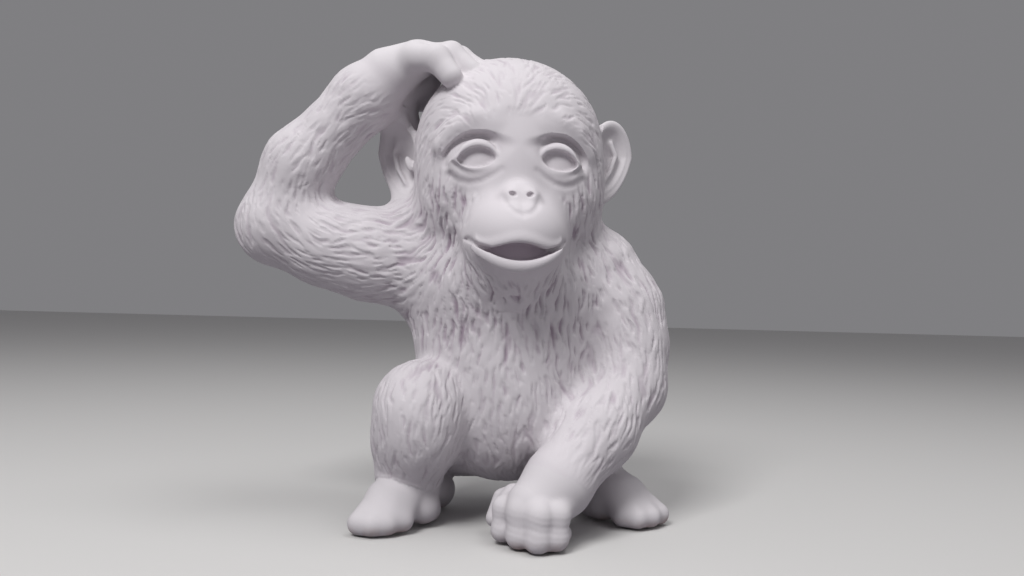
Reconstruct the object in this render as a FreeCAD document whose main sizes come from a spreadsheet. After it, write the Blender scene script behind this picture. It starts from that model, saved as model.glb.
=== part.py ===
import FreeCAD, Part
import math
import os
from FreeCAD import Rotation, Vector

# Baby ape figurine in unglazed slip-cast ceramic, in millimetres.
# It crouches on its two feet and its left knuckles and scratches its head with its right hand.
# It looks along -Y, +Z is up, and the table is the plane Z = 0.
# Every place is a named point, given as offsets across (+X), back (+Y) and up (+Z)
# from the point that carries it, so a limb follows the joint that it grows from.

doc = FreeCAD.newDocument("ape_figurine")
sheet = doc.addObject("Spreadsheet::Sheet", "Sizes")

SIZES = {
    # Where the figure stands: its box is centred on the origin.
    "stance_across": 14.9, "stance_back": 4.6,
    # Cast wall, and the hole that the slip is poured in and drained through.
    "wall": 5.0, "pour_hole_radius": 8.0, "neck_passage_radius": 8.0,
    # Trunk: a pear of oval sections that stands clear of the table.
    "trunk_across": 2.5, "trunk_back": 6.0, "trunk_clearance": 13.5,
    "trunk_height": 91.0, "trunk_width": 66.0, "trunk_depth": 61.0,
    # Head: its parts are set out from the middle of the skull, then turned.
    "skull_across": 1.8, "skull_back": 3.0, "skull_up": 131.2, "head_turn": 8.0,
    "skull_half_width": 33.0, "skull_half_depth": 34.0, "skull_half_height": 31.0,
    "cheek_back": -5.0, "cheek_up": -21.0,
    "cheek_half_width": 31.0, "cheek_half_depth": 27.0, "cheek_half_height": 24.0,
    "muzzle_back": -29.0, "muzzle_up": -34.0,
    "muzzle_half_width": 17.0, "muzzle_half_depth": 18.5, "muzzle_half_height": 15.0,
    # Eyes: a ball in its lids, under an arched brow.
    "eye_across": 13.3, "eye_back": -21.5, "eye_up": -8.2, "eyeball_radius": 8.0,
    "lid_thickness": 1.3, "lid_opening_half_width": 7.0, "lid_opening_half_height": 4.0,
    "socket_back": -34.0, "socket_half_width": 11.0, "socket_half_depth": 7.0, "socket_half_height": 7.5,
    "brow_back": -26.5, "brow_up": -6.5, "brow_arch_radius": 11.0, "brow_radius": 3.2,
    # Nose and mouth.
    "nose_back": -36.5, "nose_up": -22.5, "nose_half_width": 6.5, "nose_half_depth": 5.0,
    "nose_half_height": 4.8, "bridge_back": -30.5, "bridge_up": -14.0, "bridge_half_width": 4.6,
    "bridge_half_height": 13.0, "nostril_across": 3.4, "nostril_radius": 1.2, "nostril_depth": 4.0,
    "mouth_back": -33.5, "mouth_up": -35.5, "mouth_slope": 24.0,
    "mouth_half_width": 15.0, "mouth_half_height": 2.6, "lower_lip_drop": 2.6, "lower_lip_radius": 2.4,
    # Ears: thin cupped shells.
    "ear_half_height": 15.0, "ear_half_width": 10.0, "ear_half_thickness": 3.4, "ear_rim": 2.2,
    "ear_turn": 32.0, "left_ear_across": 35.7, "left_ear_back": 3.0, "left_ear_up": -4.2,
    "right_ear_across": -36.0, "right_ear_back": 3.0, "right_ear_up": -5.5,
    # Raised right arm.
    "right_shoulder_across": -26.5, "right_shoulder_back": 1.0, "right_shoulder_up": 74.5,
    "right_shoulder_radius": 18.0,
    "right_biceps_across": -24.0, "right_biceps_back": -3.0, "right_biceps_up": 4.5,
    "right_biceps_radius": 15.4,
    "right_elbow_across": -31.0, "right_elbow_back": -4.0, "right_elbow_up": 8.0,
    "right_elbow_radius": 12.6,
    "right_forearm_across": 9.0, "right_forearm_back": -1.0, "right_forearm_up": 22.0,
    "right_forearm_radius": 12.0,
    "right_wrist_across": -42.5, "right_wrist_back": -7.0, "right_wrist_up": 22.8,
    "right_wrist_radius": 9.4,
    # Raised hand: the palm lies beside the crown and its fingers arch over onto it.
    "raised_palm_across": 8.0, "raised_palm_back": 5.5, "raised_palm_up": 2.0,
    "raised_palm_half_length": 11.0, "raised_palm_half_width": 13.5, "raised_palm_half_thickness": 7.0,
    "raised_hand_reach": 24.0, "raised_hand_width": 22.0, "raised_finger_arch": 7.0,
    "raised_finger_radius": 3.6, "raised_thumb_radius": 4.2,
    # Left arm, which props the figure up.
    "left_shoulder_across": 30.0, "left_shoulder_back": 2.0, "left_shoulder_up": 73.0,
    "left_shoulder_radius": 17.5,
    "left_biceps_across": 10.0, "left_biceps_back": -2.0, "left_biceps_up": -16.0,
    "left_biceps_radius": 15.6,
    "left_elbow_across": 2.5, "left_elbow_back": -5.5, "left_elbow_up": -22.5,
    "left_elbow_radius": 13.6,
    "left_forearm_across": -10.5, "left_forearm_back": -14.5, "left_forearm_up": -14.0,
    "left_forearm_radius": 12.2,
    "left_wrist_across": -13.0, "left_wrist_back": -13.5, "left_wrist_up": -14.5,
    "left_wrist_radius": 11.0,
    # Left fist: four curled fingers stand on the table beside the thumb.
    "fist_across": 14.0, "fist_back": -32.0, "fist_up": 12.0,
    "fist_half_width": 11.0, "fist_half_depth": 12.0, "fist_half_height": 10.5,
    "fist_width": 16.5, "fist_depth": 10.5, "knuckle_height": 12.5,
    "fist_finger_radius": 4.2, "fist_thumb_radius": 3.5,
    # Right leg.
    "right_hip_across": -16.0, "right_hip_back": 11.0, "right_hip_radius": 20.0,
    "right_knee_across": -25.5, "right_knee_back": -14.5, "right_knee_up": 39.5,
    "right_knee_radius": 15.2,
    "right_calf_across": -27.0, "right_calf_back": -12.5, "right_calf_up": 29.0,
    "right_calf_radius": 14.4,
    "right_ankle_across": -29.0, "right_ankle_back": -9.0, "right_ankle_up": 19.0,
    "right_ankle_radius": 12.2,
    # Left leg, which the left forearm half hides.
    "left_hip_across": 19.0, "left_hip_back": 11.0, "left_hip_radius": 20.0,
    "left_knee_across": 31.0, "left_knee_back": 3.0, "left_knee_up": 41.0, "left_knee_radius": 13.0,
    "left_calf_across": 33.5, "left_calf_back": 8.0, "left_calf_up": 29.0, "left_calf_radius": 12.0,
    "left_ankle_across": 34.5, "left_ankle_back": 12.0, "left_ankle_up": 18.0,
    "left_ankle_radius": 10.6,
    # Feet: a heel, an instep, four toes in front and a great toe set back on the inner side.
    "heel_radius": 7.6, "instep_radius": 9.4, "toe_radius": 4.4, "great_toe_radius": 4.8,
    "foot_width": 17.0, "foot_height": 13.0, "toe_height": 3.5,
    "right_heel_across": -22.0, "right_heel_back": 15.0,
    "right_instep_across": -29.0, "right_instep_back": -7.5, "right_toes_across": -36.0,
    "right_toes_back": -25.5, "right_great_toe_across": -22.5, "right_great_toe_back": -8.0,
    "left_heel_across": 32.0, "left_heel_back": 24.0,
    "left_instep_across": 37.0, "left_instep_back": 10.5, "left_toes_across": 51.0,
    "left_toes_back": -6.0, "left_great_toe_across": 35.5, "left_great_toe_back": 3.0,
}

for row, (alias, number) in enumerate(SIZES.items(), start=1):
    sheet.set(f"A{row}", alias)
    sheet.set(f"B{row}", str(number))
    sheet.setAlias(f"B{row}", alias)
doc.recompute()


def size(alias):
    return float(sheet.get(alias))


class Spot:
    """A point of the figure, kept as a vector and as the three cell formulas that give it."""

    def __init__(self, at=Vector(), formulas=("0", "0", "0")):
        self.at = at
        self.formulas = formulas

    def step(self, across=None, back=None, up=None):
        """The point that lies from this one by a share of a named size along each axis."""
        moves = (across, back, up)
        lengths = [size(move[0]) * move[1] if move else 0.0 for move in moves]
        terms = [f" + Sizes.{move[0]} * {move[1]}" if move else "" for move in moves]
        formulas = tuple(old + term for old, term in zip(self.formulas, terms))
        return Spot(self.at + Vector(*lengths), formulas)

    def joint(self, name):
        """The named joint that this point carries."""
        return self.step((f"{name}_across", 1), (f"{name}_back", 1), (f"{name}_up", 1))


def put(piece, spot):
    """Tie a piece's place to the cells of a point."""
    for axis, formula in zip("xyz", spot.formulas):
        piece.setExpression(f"Placement.Base.{axis}", formula)
    return piece


def ball(spot, radius):
    piece = doc.addObject("Part::Sphere", "ball")
    piece.setExpression("Radius", radius)
    return put(piece, spot)


OVAL_POINTS = 12


def oval(centre, half_width, half_depth):
    """A level closed curve whose half width may be more or less than its half depth."""
    turns = [2 * math.pi * number / OVAL_POINTS for number in range(OVAL_POINTS)]
    points = [centre + Vector(half_width * math.cos(turn), half_depth * math.sin(turn), 0)
              for turn in turns]
    curve = Part.BSplineCurve()
    curve.interpolate(points, PeriodicFlag=True)
    return Part.Wire([curve.toShape()])


# An egg's level sections run from pole to pole at even steps of latitude, in degrees.
EGG_LATITUDES = (-85, -66, -47, -28, -9, 9, 28, 47, 66, 85)


def egg(spot, half_width, half_depth, half_height, rotation=Rotation()):
    """An egg with three half sizes, lofted so that it can be fused and cut anywhere."""
    rings = []
    for latitude in EGG_LATITUDES:
        level, girth = math.sin(math.radians(latitude)), math.cos(math.radians(latitude))
        rings.append(oval(Vector(0, 0, half_height * level), half_width * girth, half_depth * girth))
    piece = doc.addObject("Part::Feature", "egg")
    piece.Shape = Part.makeLoft(rings, True)
    piece.Placement.Rotation = rotation
    return put(piece, spot)


def sized_egg(spot, name, inset=0.0):
    """The egg with the half sizes of a named mass, drawn in by an inset all round."""
    return egg(spot, size(f"{name}_half_width") - inset, size(f"{name}_half_depth") - inset,
               size(f"{name}_half_height") - inset)


def fused(name, pieces):
    piece = doc.addObject("Part::MultiFuse", name)
    piece.Shapes = pieces
    return piece


def cut(name, base, tools):
    """The base with each of the tools taken away, one after another."""
    for tool in tools:
        piece = doc.addObject("Part::Cut", name)
        piece.Base = base
        piece.Tool = tool
        base = piece
    return base


# A limb's tube ends inside the ball of its last joint, at this share of the ball's radius.
tube_end_share = 0.94


def limb(name, spots, radii, ball_at_start=False):
    """A round limb lofted through its joints, with a ball at its last one."""
    last = len(spots) - 1
    rings, balls = [], [ball(spots[last], radii[last])]
    if ball_at_start:
        balls.append(ball(spots[0], radii[0]))
    for index, (spot, radius) in enumerate(zip(spots, radii)):
        before, after = spots[max(index - 1, 0)].at, spots[min(index + 1, last)].at
        in_ball = index == last or (index == 0 and ball_at_start)
        ring = doc.addObject("Part::Circle", f"{name}_ring")
        ring.Placement.Rotation = Rotation(Vector(0, 0, 1), after - before)
        ring.setExpression("Radius", f"({radius}) * {tube_end_share if in_ball else 1}")
        rings.append(put(ring, spot))
    tube = doc.addObject("Part::Loft", f"{name}_tube")
    tube.Sections = rings
    tube.Solid = True
    return fused(name, [tube, *balls])


stance = Spot().step(("stance_across", 1), ("stance_back", 1))

# Trunk: shares of its height, then of its width, its depth and the depth that each section leans back.
trunk_section_shares = (
    (0.000, 0.30, 0.30, 0.00), (0.045, 0.54, 0.52, 0.00), (0.12, 0.72, 0.70, 0.00),
    (0.22, 0.86, 0.85, 0.00), (0.36, 0.95, 0.93, 0.00), (0.50, 0.95, 0.89, -0.01),
    (0.64, 0.99, 0.90, 0.00), (0.78, 0.98, 0.97, -0.01), (0.90, 0.84, 0.84, 0.00),
    (1.000, 0.52, 0.48, 0.05),
)
trunk_foot = stance.step(("trunk_across", 1), ("trunk_back", 1), ("trunk_clearance", 1))


def pear(name, inset):
    """The trunk's loft, drawn in by an inset all round."""
    rings = []
    for height_share, width_share, depth_share, lean_share in trunk_section_shares:
        centre = Vector(0, lean_share * size("trunk_depth"),
                        inset + height_share * (size("trunk_height") - 2 * inset))
        rings.append(oval(centre, size("trunk_width") / 2 * width_share - inset,
                          size("trunk_depth") / 2 * depth_share - inset))
    piece = doc.addObject("Part::Feature", name)
    piece.Shape = Part.makeLoft(rings, True)
    return put(piece, trunk_foot)


def trunk_parts():
    """The trunk's outside, and the shell with its pour hole and the passage up to the head."""
    outside = pear("trunk_outside", 0.0)
    hollow = pear("trunk_hollow", size("wall"))
    hole = doc.addObject("Part::Cylinder", "pour_hole")
    hole.setExpression("Radius", "Sizes.pour_hole_radius")
    hole.setExpression("Height", "Sizes.wall * 3")
    put(hole, trunk_foot.step(up=("wall", -1)))
    passage = doc.addObject("Part::Cylinder", "neck_passage")
    passage.setExpression("Radius", "Sizes.neck_passage_radius")
    passage.setExpression("Height", "Sizes.wall * 4")
    put(passage, trunk_foot.step(None, ("trunk_depth", 0.05), ("trunk_height", 0.9)))
    return outside, cut("trunk_shell", outside, [hollow, hole, passage])


trunk_outside, trunk = trunk_parts()

# Head, made face on about the middle of the skull and then turned to the ape's left.
skull = stance.joint("skull")
middle = Spot()


def face_parts():
    """The outside of the head with its features, the hollow inside it, and its plain masses."""
    cheeks = middle.step(None, ("cheek_back", 1), ("cheek_up", 1))
    muzzle = middle.step(None, ("muzzle_back", 1), ("muzzle_up", 1))
    masses = [
        sized_egg(middle, "skull"),
        sized_egg(cheeks, "cheek"),
        sized_egg(muzzle, "muzzle"),
    ]
    sockets, eyes = [], []
    forward = Rotation(Vector(1, 0, 0), 90)
    for side in (-1, 1):
        centre = middle.step(("eye_across", side), ("eye_back", 1), ("eye_up", 1))
        socket = middle.step(("eye_across", side), ("socket_back", 1), ("eye_up", 1))
        sockets.append(sized_egg(socket, "socket"))
        lids = ball(centre, "Sizes.eyeball_radius + Sizes.lid_thickness")
        opening = egg(centre.step(None, ("eyeball_radius", -1)), size("lid_opening_half_width"),
                      size("eyeball_radius"), size("lid_opening_half_height"))
        eyes.append(cut("lids", lids, [opening]))
        eyes.append(ball(centre, "Sizes.eyeball_radius"))
        brow = doc.addObject("Part::Torus", "brow")
        brow.Placement.Rotation = forward
        brow.setExpression("Radius1", "Sizes.brow_arch_radius")
        brow.setExpression("Radius2", "Sizes.brow_radius")
        brow.Angle3 = 180
        eyes.append(put(brow, middle.step(("eye_across", side), ("brow_back", 1), ("brow_up", 1))))
    nose = middle.step(None, ("nose_back", 1), ("nose_up", 1))
    bridge = middle.step(None, ("bridge_back", 1), ("bridge_up", 1))
    features = [
        sized_egg(nose, "nose"),
        egg(bridge, size("bridge_half_width"), size("nose_half_depth"), size("bridge_half_height")),
    ]
    nostrils = []
    for side in (-1, 1):
        nostril = doc.addObject("Part::Cylinder", "nostril")
        nostril.Placement.Rotation = forward
        nostril.setExpression("Radius", "Sizes.nostril_radius")
        nostril.setExpression("Height", "Sizes.nose_half_depth + Sizes.nostril_depth")
        nostrils.append(put(nostril, nose.step(("nostril_across", side), None,
                                               ("nostril_radius", 0.5))))
    mouth = middle.step(None, ("mouth_back", 1), ("mouth_up", 1))
    tilt = Rotation(Vector(1, 0, 0), size("mouth_slope"))
    slot = doc.addObject("Part::Cylinder", "mouth_slot")
    slot.Placement.Rotation = tilt
    slot.setExpression("Radius", "Sizes.mouth_half_width")
    slot.setExpression("Height", "Sizes.mouth_half_height")
    put(slot, mouth)
    lip = doc.addObject("Part::Torus", "lower_lip")
    lip.Placement.Rotation = tilt * Rotation(Vector(0, 0, 1), 180)
    lip.setExpression("Radius1", "Sizes.mouth_half_width")
    lip.setExpression("Radius2", "Sizes.lower_lip_radius")
    lip.Angle3 = 180
    put(lip, mouth.step(up=("lower_lip_drop", -1)))
    hollows = [
        egg(middle, size("skull_half_width") - size("wall"), size("skull_half_depth") - size("wall") * 2,
            size("skull_half_height") - size("wall")),
        sized_egg(cheeks, "cheek", size("wall")),
    ]
    carved = cut("face", fused("masses", masses), sockets)
    lively = cut("mouth", fused("features", [carved, *eyes, *features]), [slot, *nostrils])
    return fused("head_outside", [lively, lip]), fused("head_hollow", hollows), fused("head_mass", masses)


def turned(piece):
    """A piece of the head set on the skull's middle and turned with it."""
    piece.Placement.Rotation = Rotation(Vector(0, 0, 1), size("head_turn"))
    return put(piece, skull)


head_outside, head_hollow, head_mass = (turned(piece) for piece in face_parts())
head = cut("head_shell", head_outside, [head_hollow, trunk_outside])


def ear(side):
    """A thin egg stood on its edge, cupped on its front face."""
    name = "left_ear" if side > 0 else "right_ear"
    turn = Rotation(Vector(0, 0, 1), size("ear_turn") * side)
    centre = skull.joint(name)
    width, thickness, height = (size(f"ear_half_{side}") for side in ("width", "thickness", "height"))
    leaf = egg(centre, width, thickness, height, turn)
    cup = egg(centre.step(None, ("ear_half_thickness", -1)), width - size("ear_rim"), thickness,
              height - size("ear_rim"), turn)
    return cut(name, leaf, [cup, head_mass])


def bone(name, start, joints):
    """One segment of a limb from a joint through the others that it carries in turn."""
    spots = [start]
    for joint in joints:
        spots.append(spots[-1].joint(joint))
    return spots


right_shoulder = trunk_foot.joint("right_shoulder")
right_upper = bone("right_upper_arm", right_shoulder, ["right_biceps", "right_elbow"])
right_elbow = right_upper[-1]
right_wrist = skull.joint("right_wrist")
right_upper_arm = limb("right_upper_arm", right_upper, [
    "Sizes.right_shoulder_radius", "Sizes.right_biceps_radius", "Sizes.right_elbow_radius"],
    ball_at_start=True)
right_forearm = limb(
    "right_forearm", [right_elbow, right_elbow.joint("right_forearm"), right_wrist],
    ["Sizes.right_elbow_radius * 0.97", "Sizes.right_forearm_radius", "Sizes.right_wrist_radius"])

left_shoulder = trunk_foot.joint("left_shoulder")
left_upper = bone("left_upper_arm", left_shoulder, ["left_biceps", "left_elbow"])
left_elbow = left_upper[-1]
left_lower = bone("left_forearm", left_elbow, ["left_forearm", "left_wrist"])
left_upper_arm = limb("left_upper_arm", left_upper, [
    "Sizes.left_shoulder_radius", "Sizes.left_biceps_radius", "Sizes.left_elbow_radius"],
    ball_at_start=True)
left_forearm = limb("left_forearm", left_lower, [
    "Sizes.left_elbow_radius * 0.97", "Sizes.left_forearm_radius", "Sizes.left_wrist_radius"])

# Raised fingers, little to index: shares of the hand's width, then for the knuckle, the bend
# and the tip shares of its reach, its width and the arch of its fingers.
raised_finger_shares = (
    (-0.50, (0.20, 0.00, 0.30), (0.52, -0.28, 0.15), (0.80, -0.36, -0.70)),
    (-0.17, (0.20, 0.00, 0.75), (0.62, -0.28, 0.65), (1.00, -0.42, -0.15)),
    (0.17, (0.20, 0.00, 0.80), (0.68, -0.18, 0.72), (1.05, -0.32, 0.05)),
    (0.50, (0.20, 0.00, 0.60), (0.66, -0.08, 0.55), (1.00, -0.16, -0.05)),
)
raised_thumb_shares = ((-0.15, 0.35, -0.45), (0.20, 0.66, -0.70), (0.55, 0.78, -0.85))
palm = right_wrist.joint("raised_palm")


def hand_spot(share):
    """A point of the raised hand from shares of its reach, its width and its arch."""
    reach, width, arch = share
    return palm.step(("raised_hand_reach", reach), ("raised_hand_width", width),
                     ("raised_finger_arch", arch))


def raised_hand():
    pieces = [egg(palm, size("raised_palm_half_length"), size("raised_palm_half_width"),
                  size("raised_palm_half_thickness"))]
    radius = "Sizes.raised_finger_radius"
    for offset_share, *joint_shares in raised_finger_shares:
        spots = [hand_spot((reach, offset_share + width, arch)) for reach, width, arch in joint_shares]
        pieces.append(limb("raised_finger", spots, [radius + " * 1.1", radius, radius + " * 0.9"]))
    thumb = "Sizes.raised_thumb_radius"
    pieces.append(limb("raised_thumb", [hand_spot(share) for share in raised_thumb_shares],
                       [thumb + " * 1.1", thumb, thumb + " * 0.85"]))
    return fused("raised_hand", pieces)


# Curled fingers, index to little: shares of the fist's width, of its depth and of a finger's radius.
fist_finger_shares = ((-0.60, 0.50, 0.88), (-0.29, -0.07, 1.02), (0.03, -0.50, 1.07), (0.36, -0.26, 0.98))
fist_curl_shares = ((0.18, 0.45, 0.20), (0.02, -0.28, -0.10), (-0.02, -0.36, -0.64))
fist_taper_shares = (1.00, 1.05, 0.96)
fist_thumb_shares = ((-0.62, 1.15, -0.05), (-0.78, 1.02, -0.50))
fist_middle = stance.joint("fist")


def fist_spot(share):
    """A point of the fist from shares of its width, its depth and the height of its knuckles."""
    width, depth, height = share
    return fist_middle.step(("fist_width", width), ("fist_depth", depth), ("knuckle_height", height))


def fist():
    pieces = [sized_egg(fist_middle, "fist")]
    for side_share, depth_share, girth_share in fist_finger_shares:
        spots = [fist_spot((side_share + width, depth_share + depth, height))
                 for width, depth, height in fist_curl_shares]
        pieces.append(limb("fist_finger", spots, [
            f"Sizes.fist_finger_radius * {girth_share} * {taper_share}"
            for taper_share in fist_taper_shares]))
    pieces.append(limb("fist_thumb", [fist_spot(share) for share in fist_thumb_shares],
                       ["Sizes.fist_thumb_radius", "Sizes.fist_thumb_radius * 0.9"]))
    return fused("fist", pieces)


# The hips lie at this share of the trunk's height.
hip_height_share = 0.2033


def leg(side):
    """The thigh from hip to knee, and the shin from knee to ankle with its furred cuff."""
    hip = trunk_foot.step((f"{side}_hip_across", 1), (f"{side}_hip_back", 1),
                          ("trunk_height", hip_height_share))
    knee, calf, ankle = (stance.joint(f"{side}_{joint}") for joint in ("knee", "calf", "ankle"))
    thigh = limb(f"{side}_thigh", [hip, knee],
                 [f"Sizes.{side}_hip_radius", f"Sizes.{side}_knee_radius"], ball_at_start=True)
    shin = limb(f"{side}_shin", [ankle, calf, knee],
                [f"Sizes.{side}_ankle_radius", f"Sizes.{side}_calf_radius",
                 f"Sizes.{side}_knee_radius * 0.97"])
    return thigh, shin


# Toes in front of the instep, inner to outer: shares of the foot's width across and back.
toe_shares = {
    "right": ((0.38, 0.20), (0.12, -0.03), (-0.15, -0.12), (-0.41, 0.00)),
    "left": ((-0.41, -0.09), (-0.13, -0.20), (0.15, -0.03), (0.37, 0.26)),
}


# Heel and great toe stand at this share of their radius, so that the table cuts a flat under them.
sole_height_share = 0.85


def foot(side):
    """Heel, instep and five toes, cut flat where they stand on the table."""
    heel = stance.step((f"{side}_heel_across", 1), (f"{side}_heel_back", 1), ("heel_radius", sole_height_share))
    instep = stance.step((f"{side}_instep_across", 1), (f"{side}_instep_back", 1), ("foot_height", 1))
    pieces = [limb("sole", [heel, instep], ["Sizes.heel_radius", "Sizes.instep_radius"],
                   ball_at_start=True)]
    root = stance.step((f"{side}_instep_across", 0.45), (f"{side}_instep_back", 0.45),
                       ("foot_height", 0.72))
    root = root.step((f"{side}_toes_across", 0.55), (f"{side}_toes_back", 0.55))
    tip = stance.step((f"{side}_toes_across", 1), (f"{side}_toes_back", 1), ("toe_height", 1))
    for across_share, back_share in toe_shares[side]:
        base = root.step(("foot_width", across_share * 0.55), ("foot_width", back_share * 0.55))
        end = tip.step(("foot_width", across_share), ("foot_width", back_share))
        pieces.append(limb("toe", [instep, base, end], [
            "Sizes.instep_radius * 0.8", "Sizes.toe_radius * 1.25", "Sizes.toe_radius"]))
    great = stance.step((f"{side}_great_toe_across", 1), (f"{side}_great_toe_back", 1),
                        ("great_toe_radius", sole_height_share))
    pieces.append(limb("great_toe", [instep, great],
                       ["Sizes.instep_radius * 0.75", "Sizes.great_toe_radius"]))
    return fused(f"{side}_foot_whole", pieces)


def table_below(name):
    """The space under the table, which the soles and knuckles are cut flat on."""
    block = doc.addObject("Part::Box", name)
    block.setExpression("Length", "Sizes.trunk_height * 4")
    block.setExpression("Width", "Sizes.trunk_height * 4")
    block.setExpression("Height", "Sizes.trunk_height")
    block.setExpression("Placement.Base.x", "-Sizes.trunk_height * 2")
    block.setExpression("Placement.Base.y", "-Sizes.trunk_height * 2")
    block.setExpression("Placement.Base.z", "-Sizes.trunk_height")
    return block


table = table_below("table")
right_thigh, right_shin = leg("right")
left_thigh, left_shin = leg("left")
hand = raised_hand()
knuckles = fist()

pieces = {
    "trunk": cut("trunk_cut", trunk, [left_forearm]),
    "head": head,
    "left_ear": ear(1),
    "right_ear": ear(-1),
    "right_upper_arm": cut("right_upper_arm_cut", right_upper_arm, [trunk_outside, head_mass]),
    "right_forearm": cut("right_forearm_cut", right_forearm, [right_upper_arm, head_mass]),
    "right_hand": cut("right_hand_cut", hand, [right_forearm, head_mass]),
    "left_upper_arm": cut("left_upper_arm_cut", left_upper_arm, [trunk_outside, head_mass]),
    "left_forearm": cut("left_forearm_cut", left_forearm, [left_upper_arm]),
    "left_hand": cut("left_hand_cut", knuckles, [left_forearm, table]),
    "right_thigh": cut("right_thigh_cut", right_thigh, [trunk_outside]),
    "right_shin": cut("right_shin_cut", right_shin, [right_thigh, trunk_outside]),
    "right_foot": cut("right_foot_cut", foot("right"), [right_shin, right_thigh, table]),
    "left_thigh": cut("left_thigh_cut", left_thigh, [left_forearm, left_upper_arm, trunk_outside]),
    "left_shin": cut("left_shin_cut", left_shin, [left_forearm, left_thigh, trunk_outside]),
    "left_foot": cut("left_foot_cut", foot("left"), [left_shin, left_thigh, table]),
}
for name, piece in pieces.items():
    piece.Label = name

doc.recompute()
for item in doc.Objects:
    if "Invalid" in item.State or "Error" in item.State:
        raise RuntimeError(f"{item.Name} did not build")
os.makedirs("parts", exist_ok=True)
for name, piece in pieces.items():
    shape = piece.Shape
    if shape.isNull() or not shape.isValid():
        raise RuntimeError(f"{name} is not a valid shape")
    box = shape.BoundBox
    print(f"{name}: {len(shape.Solids)} solid, {shape.Volume / 1000:.1f} cm3, "
          f"X {box.XMin:.1f} to {box.XMax:.1f}, Y {box.YMin:.1f} to {box.YMax:.1f}, "
          f"Z {box.ZMin:.1f} to {box.ZMax:.1f}")
    shape.exportStep(f"parts/{name}.step")
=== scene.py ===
import math

import bpy
import numpy as np
import openvdb
from mathutils import Matrix, Vector


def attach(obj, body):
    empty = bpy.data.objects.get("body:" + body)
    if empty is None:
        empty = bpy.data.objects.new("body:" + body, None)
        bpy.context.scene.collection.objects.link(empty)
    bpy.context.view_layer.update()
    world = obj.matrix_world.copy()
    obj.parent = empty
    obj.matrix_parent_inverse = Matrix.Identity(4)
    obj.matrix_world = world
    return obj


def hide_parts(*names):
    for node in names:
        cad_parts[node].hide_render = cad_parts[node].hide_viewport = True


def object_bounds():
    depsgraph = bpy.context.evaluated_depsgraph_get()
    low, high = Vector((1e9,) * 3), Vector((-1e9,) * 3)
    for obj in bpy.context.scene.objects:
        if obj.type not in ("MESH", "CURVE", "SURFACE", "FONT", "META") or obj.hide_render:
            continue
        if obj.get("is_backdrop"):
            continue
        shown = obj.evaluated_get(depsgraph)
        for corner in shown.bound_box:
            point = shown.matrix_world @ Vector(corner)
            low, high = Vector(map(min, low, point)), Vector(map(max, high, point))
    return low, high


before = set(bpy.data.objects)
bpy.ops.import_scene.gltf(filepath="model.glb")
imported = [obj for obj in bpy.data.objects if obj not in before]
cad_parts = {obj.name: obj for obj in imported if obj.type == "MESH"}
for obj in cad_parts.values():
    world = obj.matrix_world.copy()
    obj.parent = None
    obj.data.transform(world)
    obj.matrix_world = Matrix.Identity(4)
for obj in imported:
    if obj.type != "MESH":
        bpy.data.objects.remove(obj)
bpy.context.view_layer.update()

# Trunk. The ape's pot-bellied body, the first lump of clay that the rest is
# modelled onto. Slip-cast in white earthenware with the whole figure and fired
# once, so it is matte bisque, with the long hair of the belly and back tooled in.

GRAIN = 0.48      # how finely the clay is worked, in mm
CLAY_LOW = np.array([-97.0, -52.0, -3.0])
CLAY_HIGH = np.array([70.0, 46.0, 172.0])
NO_CLAY = 50.0                           # a distance that stands for empty air
SPARE = 2.0                              # how much clay is looked at around a lump, past its joint
clay_shape = tuple(np.ceil((CLAY_HIGH - CLAY_LOW) / GRAIN).astype(int))
clay = np.full(clay_shape, NO_CLAY, np.float32)

forms = {}                               # piece -> its lumps
casts = {}                               # piece -> its empty cast and its slot


def egg(points, centre, radii, turn=None):
    """Distance from an ellipsoid of clay."""
    local = points - np.asarray(centre, np.float32)
    if turn is not None:
        local = local @ turn
    radii = np.asarray(radii, np.float32)
    near = np.sqrt(((local / radii) ** 2).sum(-1))
    far = np.sqrt(((local / radii ** 2) ** 2).sum(-1))
    return near * (near - 1) / np.maximum(far, 1e-6)


def roll(points, start, end, first, last):
    """Distance from a tapering roll of clay."""
    start, end = np.asarray(start, np.float32), np.asarray(end, np.float32)
    along = end - start
    share = np.clip(((points - start) @ along) / (along @ along), 0, 1)
    return np.sqrt(((points - start - share[..., None] * along) ** 2).sum(-1)) - (
        first + (last - first) * share)


def pressed(one, other, softness):
    """Two lumps pressed together, with the joint smoothed over."""
    reach = np.maximum(softness - np.abs(one - other), 0) / softness
    return np.minimum(one, other) - reach * reach * softness * 0.25


def lump_field(points, lumps):
    """Distance from a piece's lumps: eggs (centre, radii, turn) and rolls (start, end, first, last)."""
    field = None
    for kind, softness, *sizes in lumps:
        distance = egg(points, *sizes) if kind == "egg" else roll(points, *sizes)
        field = distance if field is None else pressed(field, distance, softness)
    return field


def lump_reach(lumps, margin):
    """The box that a piece's lumps lie in."""
    low, high = np.full(3, 1e9), np.full(3, -1e9)
    for kind, _, *sizes in lumps:
        if kind == "egg":
            centre, radii, *turn = sizes
            ends = [(np.asarray(centre, float), max(radii) if turn else np.asarray(radii))]
        else:
            start, end, first, last = sizes
            ends = [(np.asarray(start, float), first), (np.asarray(end, float), last)]
        for centre, radius in ends:
            low, high = np.minimum(low, centre - radius), np.maximum(high, centre + radius)
    return low - margin, high + margin


def bench(low, high):
    """The part of the clay between two corners: its slices and its points."""
    first = np.clip(np.floor((np.asarray(low) - CLAY_LOW) / GRAIN).astype(int), 0, clay_shape)
    last = np.clip(np.ceil((np.asarray(high) - CLAY_LOW) / GRAIN).astype(int), 0, clay_shape)
    axes = [np.arange(first[i], last[i], dtype=np.float32) * GRAIN + CLAY_LOW[i] for i in range(3)]
    points = np.stack(np.meshgrid(*axes, indexing="ij"), -1).astype(np.float32)
    return tuple(slice(first[i], last[i]) for i in range(3)), points


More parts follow.
